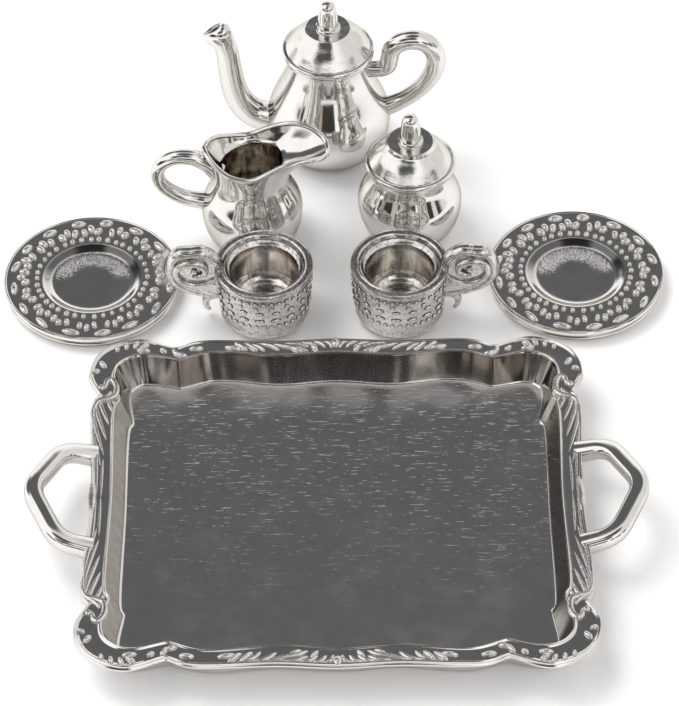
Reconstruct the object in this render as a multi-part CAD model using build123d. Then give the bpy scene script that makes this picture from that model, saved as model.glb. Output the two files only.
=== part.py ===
"""Doll's-house tea service: a tray, a teapot, a creamer, a sugar bowl, two cups and two saucers.

Sizes are in millimetres. +Z is up, +X is to the right and +Y is away from the tray's front.
The origin is the centre of the tray's underside, and every piece stands on the plane z = 0.
"""
import os
from math import cos, pi, sin

from build123d import *

# ---- whole set
wall = 0.7                  # cast wall of the pots
pot_floor = 0.9             # thickness of the pots' bottoms
lid_play = 0.12             # gap round a lid's spigot, on the radius
sink = 0.5                  # how far a soldered piece is started inside the one it joins

# ---- tray
tray_length = 51.4          # over the corner lobes, without the handles
tray_width = 44.4
tray_height = 4.2
tray_floor = 0.8
tray_wall = 0.9
rim_width = 2.25
rim_edge = 0.9              # thickness of the overhanging rim
wall_draft = 1.0            # how far the inner wall leans in from rim to floor
end_waist = 0.95            # how far a short side draws in between its lobes
grip_reach = 6.3            # how far a tray handle stands out from the rim
grip_rise = 2.2             # and how far it climbs on the way
grip_span = 12.3            # between the two ends of a tray handle
grip_tube = 2.0             # diameter
grip_bends = [1.3, 2.6, 1.3]   # radii of its three corners

# ---- teapot
teapot_x, teapot_back = -0.6, 35.1        # across, and behind the tray's back edge
teapot_base_r, teapot_belly_r, teapot_belly_z = 4.2, 6.87, 4.0
teapot_neck_r, teapot_neck_z = 4.4, 12.6
teapot_lip_r, teapot_height = 4.9, 13.4
spout_root_d, spout_mouth_d = 3.3, 2.4
spout_root_z = 4.1
spout_reach, spout_mouth_z = 13.2, 16.3
spout_bore = 0.8            # share of the spout's radius that its open mouth takes
pot_handle_tube = 2.1
pot_handle_gap = 0.78       # between the lid's flange and the rising part of the handle
pot_handle_loop = 4.8       # across the loop, between the bars' centre lines
pot_handle_top_z, pot_handle_low_z = 14.9, 5.1
pot_handle_bends = [1.25, 1.5, 2.2, 2.9]

# ---- sugar bowl
sugar_x, sugar_back = 8.2, 21.6
sugar_base_r, sugar_belly_r, sugar_belly_z = 3.9, 5.65, 4.0
sugar_neck_r, sugar_neck_z = 4.2, 8.2
sugar_lip_r, sugar_height = 4.7, 8.9

# ---- lids of the teapot and the sugar bowl
lid_overhang = 0.17         # how far a lid's flange stands out past the pot's lip
lid_flange = 0.65
lid_rise = 3.3              # from the pot's lip to the flat on the dome
lid_flat_r = 2.5
spigot_depth = 0.9
spigot_wall = 0.6
finial_collar_r, finial_stem_r, finial_tip_r = 1.25, 0.78, 0.6
finial_height = 3.5
finial_collar_h = 0.35

# ---- creamer
creamer_x, creamer_back = -8.9, 20.5
creamer_base_r, creamer_belly_r, creamer_belly_z = 3.9, 5.5, 4.0
creamer_neck_r, creamer_neck_z = 4.1, 8.8
mouth_back, mouth_front = 5.1, 8.5   # from the axis to the back of the rim and to the lip
mouth_half_width = 4.05
mouth_low_z, mouth_high_z = 10.95, 12.85
creamer_handle_tube = 1.7
creamer_handle_reach = 10.1
creamer_handle_top_z, creamer_handle_low_z = 11.2, 5.0
creamer_handle_bends = [1.6, 1.7, 1.7]

# ---- cups
cup_spread, cup_back = 7.2, 7.9      # half the distance between the cups, and their row
cup_shift = -0.35                    # the pair stands a little left of the tray's middle
cup_foot_r, cup_rim_r, cup_height = 4.0, 5.2, 7.3
cup_rim_band = 0.6                   # width of the flat ring on top
cup_well_r, cup_well_depth = 3.75, 5.8
cup_bevel = 0.85
cup_dome_h = 0.5
cup_band_h = 0.6                     # height of the thicker rim
cup_foot_h = 0.45
ear_thickness = 2.2
ear_reach = 5.15                     # how far a cup's handle stands out from its rim
ear_top_z, ear_low_z = 9.4, 2.9
ear_recess = 0.35
ear_border = 0.75
ear_root = 1.2                       # how far the scroll is started inside the rim's radius

# ---- saucers
saucer_r, saucer_height = 9.45, 1.6
saucer_left_x, saucer_left_back = -26.2, 11.9
saucer_right_x, saucer_right_back = 25.9, 12.25
well_r, well_floor_r, well_depth = 5.15, 4.3, 0.75
saucer_step = 0.7                    # height of the lower step of the edge


# ---- helpers

def turned(*runs):
    """Solid of revolution about Z. Each run is a list of (radius, height); longer ones are smooth."""
    curves = []
    for run in runs:
        places = [Vector(r, 0, z) for r, z in run]
        curves.append(Line(*places) if len(places) == 2 else Spline(*places))
    return revolve(make_face(curves), Axis.Z)


def chain(points):
    """The same points as two-point runs, for a profile with corners."""
    return [[a, b] for a, b in zip(points, points[1:])]


def at(solid, x, y):
    return Pos(x, y, 0) * solid


def tube(points, radii, diameter):
    """Round bar along straight runs joined by tangent arcs, one radius for each corner."""
    path = FilletPolyline(*points, radius=radii)
    section = Plane(origin=path @ 0, z_dir=path % 0) * Circle(diameter / 2)
    return sweep(section, path=path)


def lower_curve(base_r, belly_r, bottom_z, belly_z):
    """Rounded bottom of a pot, from the foot out to the belly."""
    steps = [pi / 2 * i / 4 for i in range(5)]
    rise = belly_z - bottom_z
    return [(base_r + (belly_r - base_r) * sin(a), bottom_z + rise * (1 - cos(a))) for a in steps]


def upper_curve(belly_r, neck_r, belly_z, neck_z):
    """Shoulder of a pot, an easy S from the belly in to the neck."""
    steps = [i / 6 for i in range(7)]
    half = (belly_r - neck_r) / 2
    return [(neck_r + half * (1 + cos(pi * t)), belly_z + (neck_z - belly_z) * t) for t in steps]


def pot_curve(base_r, belly_r, belly_z, neck_r, neck_z, inset=0.0, bottom_z=0.0):
    lower = lower_curve(base_r - inset, belly_r - inset, bottom_z, belly_z)
    return lower + upper_curve(belly_r - inset, neck_r - inset, belly_z, neck_z)[1:]


def pot_solid(curve, lip_r, height):
    """Filled pot: the smooth wall, then a plain ring round the mouth."""
    (base_r, bottom_z), (neck_r, neck_z) = curve[0], curve[-1]
    lip_z = (neck_z + height) / 2
    top = chain([(neck_r, neck_z), (lip_r, lip_z), (lip_r, height), (0, height), (0, bottom_z)])
    return turned([(0, bottom_z), (base_r, bottom_z)], curve, *top)


def pot_cavity(curve, height):
    (base_r, bottom_z), (neck_r, neck_z) = curve[0], curve[-1]
    top = chain([(neck_r, neck_z), (neck_r, height), (0, height), (0, bottom_z)])
    return turned([(0, bottom_z), (base_r, bottom_z)], curve, *top)


def bulb(curve):
    """Solid inside a smooth wall curve, cut off flat at the neck."""
    (base_r, bottom_z), (neck_r, neck_z) = curve[0], curve[-1]
    closing = chain([(neck_r, neck_z), (0, neck_z), (0, bottom_z)])
    return turned([(0, bottom_z), (base_r, bottom_z)], curve, *closing)


def radius_at(curve, z):
    """Radius of a pot's outside at a height on its shoulder."""
    for (r0, z0), (r1, z1) in zip(curve, curve[1:]):
        if z0 <= z <= z1:
            return r0 + (r1 - r0) * (z - z0) / (z1 - z0)
    return curve[-1][0]


# ---- tray

def edge_point(from_end, from_side, inward, inset):
    """A point of the scalloped edge, measured in from the tray's overall length and width."""
    x = tray_length / 2 - from_end - inset * inward[0]
    y = tray_width / 2 - from_side - inset * inward[1]
    return x, y


def tray_outline(inset, z):
    """Scalloped outline: a lobe at each corner, cusps beside it, and gently waved sides."""
    half_l, half_w = tray_length / 2, tray_width / 2
    side_mid = (half_l - end_waist - inset, 0)
    side_bulge = edge_point(0.45, 10.7, (1.13, 0.22), inset)
    side_cusp = edge_point(1.2, 7.95, (1.04, 0.38), inset)
    lobe = [
        side_cusp,
        edge_point(0, 5.2, (1.27, 0.18), inset),
        edge_point(1.2, 1.8, (1.02, 0.76), inset),
        edge_point(5.0, 0, (0.31, 1.13), inset),
        edge_point(9.1, 1.3, (0.09, 0.91), inset),
    ]
    long_bulge = edge_point(12.1, 0.3, (0.44, 0.87), inset)
    long_dip = (6.0, half_w - 0.45 - inset * 1.03)
    long_mid = (0, half_w - 0.15 - inset * 0.98)

    def flip(points, sx, sy):
        return [Vector(sx * x, sy * y, z) for x, y in points]

    side = [(x, -y) for x, y in (side_cusp, side_bulge)] + [side_mid, side_bulge, side_cusp]
    right_half = [lobe[-1], long_bulge, long_dip]
    long_side = right_half + [long_mid] + [(-x, y) for x, y in reversed(right_half)]
    curves = [
        Spline(*flip(side, 1, 1)),
        Spline(*flip(lobe, 1, 1)),
        Spline(*flip(long_side, 1, 1)),
        Spline(*flip(lobe[::-1], -1, 1)),
        Spline(*flip(side, -1, -1)),
        Spline(*flip(lobe, -1, -1)),
        Spline(*flip(long_side, -1, -1)),
        Spline(*flip(lobe[::-1], 1, -1)),
    ]
    return make_face(curves)


def tray_pan():
    """Shallow dish with leaning walls under a flat overhanging rim."""
    lean = wall_draft / (tray_height - tray_floor)
    rim = extrude(tray_outline(0, tray_height - rim_edge), rim_edge)
    outer_top = tray_outline(rim_width - tray_wall, tray_height)
    outer_foot = tray_outline(rim_width - tray_wall + lean * tray_height, 0)
    inner_top = tray_outline(rim_width, tray_height)
    inner_foot = tray_outline(rim_width + wall_draft, tray_floor)
    dish = loft([outer_foot, outer_top], ruled=True)
    recess = loft([inner_foot, inner_top], ruled=True)
    return rim + dish - recess


def tray_handle(side, pan):
    """Bar in a half hexagon that climbs outwards, soldered under the rim at both ends."""
    rim_x = tray_length / 2 - end_waist
    start_z = tray_height - rim_edge - 0.1
    corner_z = start_z + grip_rise * 0.54
    half = grip_span / 2
    points = [
        (rim_x - sink, -half, start_z),
        (rim_x + grip_reach * 0.53, -half + 0.15, corner_z),
        (rim_x + grip_reach, 0, start_z + grip_rise),
        (rim_x + grip_reach * 0.53, half - 0.15, corner_z),
        (rim_x - sink, half, start_z),
    ]
    bar = tube([(side * x, y, z) for x, y, z in points], grip_bends, grip_tube)
    return bar - pan


# ---- teapot

def teapot_curve(inset=0.0, bottom_z=0.0):
    return pot_curve(teapot_base_r, teapot_belly_r, teapot_belly_z,
                     teapot_neck_r, teapot_neck_z, inset, bottom_z)


def teapot_body(filled):
    return filled - pot_cavity(teapot_curve(wall, pot_floor), teapot_height)


def teapot_spout(filled):
    """Swan-neck spout to the left, open at a slanted mouth."""
    belly = teapot_belly_r
    column = spout_reach - 2.3
    line = Spline(
        (-(belly - 1.6), 0, spout_root_z - 0.2),
        (-(belly + 1.3), 0, spout_root_z + 0.2),
        (-(column - 0.7), 0, spout_root_z + 2.5),
        (-column, 0, (spout_root_z + spout_mouth_z) / 2 + 0.6),
        (-(column + 0.35), 0, spout_mouth_z - 2.0),
        (-spout_reach, 0, spout_mouth_z + 0.2),
    )
    steps = [i / 8 for i in range(9)]
    sizes = [spout_root_d + (spout_mouth_d - spout_root_d) * min(1, 1.6 * t) for t in steps]
    sections = [Plane(origin=line @ t, z_dir=line % t) * Circle(d / 2) for t, d in zip(steps, sizes)]
    mouth_r = spout_mouth_d / 2 * spout_bore
    end, along = line @ 1, line % 1
    bore = Plane(origin=end + along, z_dir=-along) * Cylinder(
        mouth_r, 3.4, align=(Align.CENTER, Align.CENTER, Align.MIN))
    keep = Pos(-spout_reach / 2, 0, 0) * Box(spout_reach * 3, 8, 2 * spout_mouth_z)
    return (loft(sections) - bore - filled) & keep


def teapot_handle(filled):
    """Ear-shaped bar to the right: out of the neck, up and over, and down into the belly."""
    riser = teapot_lip_r + lid_overhang + pot_handle_gap + pot_handle_tube / 2
    outer = riser + pot_handle_loop
    top, low = pot_handle_top_z, pot_handle_low_z
    points = [
        (teapot_neck_r - sink, 0, top - 4.2),
        (riser - 0.8, 0, top - 4.1),
        (riser, 0, top + 0.3),
        (outer, 0, top + 0.4),
        (outer + 0.1, 0, low + 4.3),
        (radius_at(teapot_curve(), low + 0.1) - sink, 0, low - 0.5),
    ]
    return tube(points, pot_handle_bends, pot_handle_tube) - filled


# ---- lids and finials

def lid(lip_r, mouth_r, seat_z):
    """Domed lid: a flange on the pot's lip, a hollow spigot in its mouth, a flat on top."""
    flange_r = lip_r + lid_overhang
    spigot_r = mouth_r - lid_play
    flange_top = seat_z + lid_flange
    flat_z = seat_z + lid_rise
    drop = flat_z - flange_top
    steps = [i / 5 for i in range(6)]
    rim_r = flange_r - 0.35
    dome = [(lid_flat_r + (rim_r - lid_flat_r) * cos(pi / 2 * t) ** 0.9,
             flange_top + drop * sin(pi / 2 * t)) for t in steps]
    under_r = spigot_r - spigot_wall
    hollow = chain([(under_r, seat_z - spigot_depth), (under_r, flange_top),
                    (lid_flat_r, flat_z - wall), (0, flat_z - wall)])
    foot = chain([(flange_r, flange_top), (flange_r, seat_z), (spigot_r, seat_z),
                  (spigot_r, seat_z - spigot_depth), (under_r, seat_z - spigot_depth)])
    crown = [[(0, flat_z - wall), (0, flat_z)], [(0, flat_z), dome[-1]], dome[::-1],
             [dome[0], (flange_r, flange_top)]]
    return turned(*crown, *foot, *hollow)


def finial(seat_z):
    """Knob on the lid's flat: a collar, then a tapering stem with a round end."""
    collar_z = seat_z + finial_collar_h
    tip_z = seat_z + finial_height
    stem = [(finial_stem_r, collar_z + 0.3), (finial_tip_r, tip_z - 0.7)]
    cap = [stem[-1], (finial_tip_r * 0.75, tip_z - 0.22), (0, tip_z)]
    return turned(*chain([(0, tip_z), (0, seat_z), (finial_collar_r, seat_z),
                          (finial_collar_r, collar_z), *stem]), cap)


# ---- sugar bowl

def sugar_curve(inset=0.0, bottom_z=0.0):
    return pot_curve(sugar_base_r, sugar_belly_r, sugar_belly_z,
                     sugar_neck_r, sugar_neck_z, inset, bottom_z)


def sugar_bowl():
    filled = pot_solid(sugar_curve(), sugar_lip_r, sugar_height)
    return filled - pot_cavity(sugar_curve(wall, pot_floor), sugar_height)


# ---- creamer

def creamer_curve(inset=0.0, bottom_z=0.0):
    return pot_curve(creamer_base_r, creamer_belly_r, creamer_belly_z,
                     creamer_neck_r, creamer_neck_z, inset, bottom_z)


def egg(back, front, half_width, z):
    """Egg-shaped outline, blunt at the back and drawn out to the lip."""
    upper = [(0.8 * front, 0.62 * half_width), (0.42 * front, 0.9 * half_width), (0, half_width),
             (-0.72 * back, 0.66 * half_width)]
    lower = [(x, -y) for x, y in reversed(upper)]
    loop = [(front, 0), *upper, (-back, 0), *lower]
    return make_face(Spline(*[Vector(x, y, z) for x, y in loop], periodic=True))


def creamer_top(inset):
    """Flaring collar above the neck, from a circle to the egg-shaped mouth."""
    neck, z0, z1 = creamer_neck_r - inset, creamer_neck_z, mouth_high_z + 0.5
    middle = z0 + 0.45 * (z1 - z0)
    front_mid = neck + 0.35 * (mouth_front - creamer_neck_r)
    sections = [
        Pos(0, 0, z0) * Circle(neck),
        egg(neck + 0.15, front_mid, (neck + mouth_half_width - inset) / 2, middle),
        egg(mouth_back - inset, mouth_front - inset, mouth_half_width - inset, z1),
    ]
    return loft(sections)


def creamer_filled():
    return bulb(creamer_curve()) + creamer_top(0)


def creamer_body(filled):
    hollow = bulb(creamer_curve(wall, pot_floor)) + creamer_top(wall)
    above = Spline(
        (-mouth_back - 1, 0, mouth_high_z - 0.3),
        (-0.45 * mouth_back, 0, mouth_low_z + 0.15),
        (0, 0, mouth_low_z),
        (0.42 * mouth_front, 0, mouth_high_z - 0.3),
        (0.76 * mouth_front, 0, mouth_high_z),
        (mouth_front + 1, 0, mouth_high_z - 0.9),
    )
    lid_z = mouth_high_z + 4
    corners = [above @ 1, Vector(mouth_front + 1, 0, lid_z), Vector(-mouth_back - 1, 0, lid_z), above @ 0]
    waste = extrude(make_face([above, Polyline(*corners)]), 2 * creamer_belly_r, both=True)
    return filled - hollow - waste


def creamer_handle(filled):
    """Deep D-shaped loop behind the neck, opposite the lip."""
    neck, reach = creamer_neck_r, creamer_handle_reach
    top, low = creamer_handle_top_z, creamer_handle_low_z
    points = [
        (-(neck - sink + 0.3), 0, top - 2.0),
        (-(neck + 2.1), 0, top + 0.3),
        (-(reach + 0.3), 0, top - 0.3),
        (-(reach - 0.5), 0, low + 0.1),
        (-(neck - sink), 0, low),
    ]
    return tube(points, creamer_handle_bends, creamer_handle_tube) - filled


# ---- cups

def cup_filled():
    """Outside of a cup: a small foot, a wall that opens slightly, and a thicker rim."""
    return turned(*chain([(0, 0), (cup_foot_r, 0), (cup_foot_r + 0.5, cup_foot_h),
                          (cup_rim_r - 0.25, cup_height / 2),
                          (cup_rim_r - 0.1, cup_height - cup_band_h - 0.3),
                          (cup_rim_r, cup_height - cup_band_h), (cup_rim_r, cup_height),
                          (0, cup_height), (0, 0)]))


def cup_body(filled):
    """Straight-sided cup: a flat ring on top, a bevel, and a deep well with a domed bottom."""
    bottom = cup_height - cup_well_depth
    ring_r = cup_rim_r - cup_rim_band
    foot_r = cup_well_r - 0.25
    dome_r = foot_r - 0.5
    well = turned(*chain([(0, cup_height), (ring_r, cup_height), (cup_well_r, cup_height - cup_bevel),
                          (foot_r, bottom), (dome_r, bottom)]),
                  [(dome_r, bottom), (dome_r * 0.6, bottom + cup_dome_h * 0.75), (0, bottom + cup_dome_h)],
                  [(0, bottom + cup_dome_h), (0, cup_height)])
    return filled - well


def ear_outline(inset):
    """Ear shape beside the cup's wall. An inset brings it in towards its middle all round."""
    root_x, reach = cup_rim_r - ear_root, cup_rim_r + ear_reach
    top, low = ear_top_z, ear_low_z
    centre = Vector((cup_rim_r + reach) / 2 + 0.2, 0, (top + low) / 2 + 0.1)
    points = [
        (root_x, cup_height - 1.6),
        (cup_rim_r + 0.45, top - 0.6),
        (reach - 2.6, top),
        (reach - 0.7, top - 1.3),
        (reach, (top + low) / 2),
        (reach - 1.1, low + 1.45),
        (reach - 3.2, low + 0.45),
        (root_x, low),
    ]
    places = []
    for x, z in points:
        inwards = (centre - Vector(x, 0, z)).normalized()
        places.append(Vector(x, 0, z) + inwards * inset)
    edge = Spline(*places)
    return make_face([edge, Line(edge @ 1, edge @ 0)])


def cup_handle(filled):
    """Ear-shaped scroll with sunk faces, and a short spur below it against the wall."""
    root_x, low = cup_rim_r - ear_root, ear_low_z
    plate = extrude(ear_outline(0), ear_thickness / 2, both=True)
    pocket = extrude(ear_outline(ear_border), ear_recess, dir=(0, 1, 0))
    front_pocket = Pos(0, -ear_thickness / 2, 0) * pocket
    back_pocket = Pos(0, ear_thickness / 2 - ear_recess, 0) * pocket
    spur_points = [(root_x, low + 0.3), (cup_rim_r + 1.4, low + 0.6), (cup_rim_r + 1.2, low - 1.3),
                   (cup_rim_r + 0.7, 0.45), (cup_rim_r + 0.2, 1.0), (root_x, 1.6)]
    spur_outline = make_face(Polyline(*[Vector(x, 0, z) for x, z in spur_points], close=True))
    spur = extrude(spur_outline, ear_thickness * 0.3, both=True)
    return (plate + spur) - front_pocket - back_pocket - filled


# ---- saucers

def saucer():
    """Flat saucer with a stepped edge and a sunk well."""
    foot_r = saucer_r - 0.45
    return turned(*chain([(0, 0), (foot_r, 0), (saucer_r - 0.1, saucer_step - 0.15),
                          (saucer_r - 0.1, saucer_step), (saucer_r - 0.25, saucer_step + 0.15),
                          (saucer_r, saucer_height - 0.45), (saucer_r - 0.1, saucer_height),
                          (well_r, saucer_height), (well_floor_r, saucer_height - well_depth),
                          (0, saucer_height - well_depth), (0, 0)]))


# ---- every node

def build():
    back_edge = tray_width / 2
    teapot_y = back_edge + teapot_back
    sugar_y = back_edge + sugar_back
    creamer_y = back_edge + creamer_back
    cup_y = back_edge + cup_back
    saucer_left_y = back_edge + saucer_left_back
    saucer_right_y = back_edge + saucer_right_back
    nodes = {}
    nodes["tray_pan"] = tray_pan()
    nodes["tray_handle_left"] = tray_handle(-1, nodes["tray_pan"])
    nodes["tray_handle_right"] = tray_handle(1, nodes["tray_pan"])

    teapot = pot_solid(teapot_curve(), teapot_lip_r, teapot_height)
    teapot_lid = lid(teapot_lip_r, teapot_neck_r - wall, teapot_height)
    nodes["teapot_body"] = at(teapot_body(teapot), teapot_x, teapot_y)
    nodes["teapot_spout"] = at(teapot_spout(teapot), teapot_x, teapot_y)
    nodes["teapot_handle"] = at(teapot_handle(teapot), teapot_x, teapot_y)
    nodes["teapot_lid"] = at(teapot_lid, teapot_x, teapot_y)
    nodes["teapot_lid_finial"] = at(finial(teapot_height + lid_rise), teapot_x, teapot_y)

    sugar_lid = lid(sugar_lip_r, sugar_neck_r - wall, sugar_height)
    nodes["sugar_bowl"] = at(sugar_bowl(), sugar_x, sugar_y)
    nodes["sugar_lid"] = at(sugar_lid, sugar_x, sugar_y)
    nodes["sugar_lid_finial"] = at(finial(sugar_height + lid_rise), sugar_x, sugar_y)

    jug = creamer_filled()
    nodes["creamer_body"] = at(creamer_body(jug), creamer_x, creamer_y)
    nodes["creamer_handle"] = at(creamer_handle(jug), creamer_x, creamer_y)

    cup = cup_filled()
    cup_shell = cup_body(cup)
    cup_ear = cup_handle(cup)
    nodes["cup_left_body"] = at(cup_shell, cup_shift - cup_spread, cup_y)
    nodes["cup_left_handle"] = at(mirror(cup_ear, Plane.YZ), cup_shift - cup_spread, cup_y)
    nodes["cup_right_body"] = at(cup_shell, cup_shift + cup_spread, cup_y)
    nodes["cup_right_handle"] = at(cup_ear, cup_shift + cup_spread, cup_y)

    nodes["saucer_left"] = at(saucer(), saucer_left_x, saucer_left_y)
    nodes["saucer_right"] = at(saucer(), saucer_right_x, saucer_right_y)
    return nodes


os.makedirs("parts", exist_ok=True)
for name, solid in build().items():
    export_step(solid, f"parts/{name}.step")
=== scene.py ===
"""Doll's-house tea service in polished silver plate: tray, teapot, creamer, sugar bowl, cups, saucers."""
from math import atan2, cos, hypot, pi, radians, sin, tau

import bmesh
import bpy
from bpy.props import FloatProperty, FloatVectorProperty, IntProperty, PointerProperty
from mathutils import Matrix, Vector


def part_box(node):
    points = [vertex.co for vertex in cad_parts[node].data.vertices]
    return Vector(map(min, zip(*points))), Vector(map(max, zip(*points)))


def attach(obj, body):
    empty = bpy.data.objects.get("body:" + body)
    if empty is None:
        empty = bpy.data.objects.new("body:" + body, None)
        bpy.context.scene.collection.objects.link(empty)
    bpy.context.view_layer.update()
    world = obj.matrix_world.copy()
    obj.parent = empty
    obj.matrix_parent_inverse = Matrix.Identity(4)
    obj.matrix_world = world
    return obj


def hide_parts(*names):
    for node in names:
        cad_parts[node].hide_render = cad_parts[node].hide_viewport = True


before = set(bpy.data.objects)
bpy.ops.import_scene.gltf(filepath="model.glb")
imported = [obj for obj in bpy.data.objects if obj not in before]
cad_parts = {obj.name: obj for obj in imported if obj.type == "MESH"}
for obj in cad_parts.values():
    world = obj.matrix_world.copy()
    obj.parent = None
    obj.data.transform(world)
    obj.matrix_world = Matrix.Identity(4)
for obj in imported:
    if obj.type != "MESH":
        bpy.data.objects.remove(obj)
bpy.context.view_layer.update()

bl_info = {
    "name": "Doll's-house tea service",
    "version": (1, 0, 0),
    "blender": (4, 5, 0),
    "location": "3D View > Sidebar > Tea service",
    "description": "Builds a miniature metal tea service around its measured frame",
    "category": "Object",
}

MM = 0.001
SHARP_ANGLE = radians(32)
ACROSS = Vector((0, 1, 0))
UP = Vector((0, 0, 1))
CORNERS = [(1, 1), (1, -1), (-1, 1), (-1, -1)]
LENGTH = {"subtype": "DISTANCE", "unit": "LENGTH", "min": 0}
COLOUR = {"subtype": "COLOR", "size": 3, "min": 0, "max": 1}


# ---- what a user may change

class FinishSettings(bpy.types.PropertyGroup):
    """Colours and polish of the plated metal, and the colour of the painted shade round the cups' beads."""
    silver: FloatVectorProperty(
        name="Silver", description="Colour of clean plate", default=(0.82, 0.805, 0.785), **COLOUR)
    # Painted shade: this colour darkens flat rings round the foot of the cups' beads.
    painted_bead_shade: FloatVectorProperty(
        name="Bead shade", description="Colour of the darkened metal in the recesses",
        default=(0.12, 0.112, 0.105), **COLOUR)
    edge_tint: FloatVectorProperty(
        name="Edge tint", description="Colour of reflections at a glancing angle",
        default=(0.62, 0.59, 0.56), **COLOUR)
    roughness: FloatProperty(
        name="Roughness", description="Roughness of a well polished pot", subtype="FACTOR",
        min=0, max=1, default=0.05)


class TraySettings(bpy.types.PropertyGroup):
    """Sizes of the tray's rim and floor."""
    rim_width: FloatProperty(
        name="Rim width", description="Width of the flat rim, from edge to inner wall",
        default=2.25 * MM, **LENGTH)
    field_depth: FloatProperty(
        name="Field depth", description="How far the rim's field lies under its beads",
        default=0.16 * MM, **LENGTH)
    relief_height: FloatProperty(
        name="Relief height", description="Half height of the ovals on the rim",
        default=0.34 * MM, **LENGTH)
    scratch_depth: FloatProperty(
        name="Scratch depth", description="Depth of the hairlines on the tray's floor",
        default=0.009 * MM, **LENGTH)


class SaucerSettings(bpy.types.PropertyGroup):
    """Relief of the two saucers."""
    beads: IntProperty(name="Beads", description="Beads in the ring round the well", min=3, default=38)
    ovals: IntProperty(name="Ovals", description="Long ovals near the edge", min=3, default=16)


class CupSettings(bpy.types.PropertyGroup):
    """Relief of the two cups."""
    beads: IntProperty(name="Beads", description="Beads in each row round a cup", min=3, default=38)
    domes: IntProperty(name="Arches", description="Small arches round a cup", min=3, default=18)


class PotSettings(bpy.types.PropertyGroup):
    """Sizes that the teapot, the sugar bowl and the creamer share."""
    wall: FloatProperty(
        name="Wall", description="Thickness of the cast wall", default=0.7 * MM, **LENGTH)
    lid_rise: FloatProperty(
        name="Lid rise", description="From a pot's lip to the flat on top of its lid",
        default=3.3 * MM, **LENGTH)


class StageSettings(bpy.types.PropertyGroup):
    """Light and table."""
    tent: FloatVectorProperty(
        name="Tent", description="Colour of the light tent", default=(1.0, 0.995, 0.985), **COLOUR)
    table: FloatVectorProperty(
        name="Table", description="Colour of the table", default=(0.97, 0.97, 0.97), **COLOUR)
    lamp_power: FloatProperty(
        name="Lamp", description="Power of the key lamp", subtype="POWER", unit="POWER", min=0,
        default=3.2)


def box_mm(node):
    """Lowest and highest corner of a part, in millimetres."""
    low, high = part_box(node)
    return low / MM, high / MM


def centre_of(node):
    low, high = box_mm(node)
    return (low.x + high.x) / 2, (low.y + high.y) / 2


# ---- outlines and curves

def around(count):
    """Angles in equal steps round a circle."""
    return [tau * i / count for i in range(count)]


def through(points, steps=6):
    """Smooth open curve through points of any dimension, with equal steps between neighbours."""
    points = [Vector(p) for p in points]
    ends = [2 * points[0] - points[1], 2 * points[-1] - points[-2]]
    padded = [ends[0], *points, ends[1]]
    made = []
    for a, b, c, d in zip(padded, padded[1:], padded[2:], padded[3:]):
        for i in range(steps):
            t = i / steps
            made.append(0.5 * (2 * b + (c - a) * t + (2 * a - 5 * b + 4 * c - d) * t ** 2
                               + (3 * b - a - 3 * c + d) * t ** 3))
    return made + [points[-1]]


def rounded(points, steps):
    """Profile with rounded corners. A point is (r, z), or (r, z, fillet) where it is rounded."""
    made = []
    for i, point in enumerate(points):
        here = Vector(point[:2])
        fillet = point[2] if len(point) > 2 else 0
        if not fillet or i in (0, len(points) - 1):
            made.append(here)
            continue
        before = Vector(points[i - 1][:2]) - here
        after = Vector(points[i + 1][:2]) - here
        reach = min(fillet, before.length * 0.49, after.length * 0.49)
        start, end = here + before.normalized() * reach, here + after.normalized() * reach
        for k in range(steps + 1):
            t = k / steps
            made.append(start * (1 - t) ** 2 + here * 2 * t * (1 - t) + end * t ** 2)
    return made


def pot_curve(base_r, belly_r, belly_z, neck_r, neck_z, steps):
    """Wall of a pot: a rounded bottom out to the belly, then an easy S in to the neck."""
    lower = [pi / 2 * i / steps for i in range(steps + 1)]
    bottom = [(base_r + (belly_r - base_r) * sin(a), belly_z * (1 - cos(a))) for a in lower]
    half = (belly_r - neck_r) / 2
    upper = [i / (2 * steps) for i in range(1, 2 * steps + 1)]
    top = [(neck_r + half * (1 + cos(pi * t)), belly_z + (neck_z - belly_z) * t) for t in upper]
    return bottom + top


# ---- meshes

def placed(name, data):
    """New object in the scene."""
    thing = bpy.data.objects.new(name, data)
    bpy.context.scene.collection.objects.link(thing)
    return thing


def put(name, shape, material, body, replaced=()):
    """Makes a finished piece from points in millimetres and faces, and lets it ride on its body."""
    verts, faces = shape
    mesh = bpy.data.meshes.new(name)
    mesh.from_pydata([Vector(v) * MM for v in verts], [], faces)
    piece = placed(name, mesh)
    tidy(mesh)
    mesh.materials.append(material)
    settle(piece, body, replaced)
    return piece


def tidy(mesh):
    """Merges doubles, turns the faces outwards and keeps only real corners sharp."""
    work = bmesh.new()
    work.from_mesh(mesh)
    bmesh.ops.remove_doubles(work, verts=work.verts, dist=2e-7)
    bmesh.ops.recalc_face_normals(work, faces=work.faces)
    for face in work.faces:
        face.smooth = True
    for edge in work.edges:
        edge.smooth = len(edge.link_faces) == 2 and edge.calc_face_angle(0) < SHARP_ANGLE
    work.to_mesh(mesh)
    work.free()


def settle(piece, body, replaced=()):
    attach(piece, body)
    if replaced:
        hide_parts(*replaced)


def grid_faces(rings, count):
    """Quads between closed rings of equal point count."""
    faces = []
    for a in range(0, (rings - 1) * count, count):
        b = a + count
        faces += [(a + i, a + (i + 1) % count, b + (i + 1) % count, b + i) for i in range(count)]
    return faces


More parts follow.
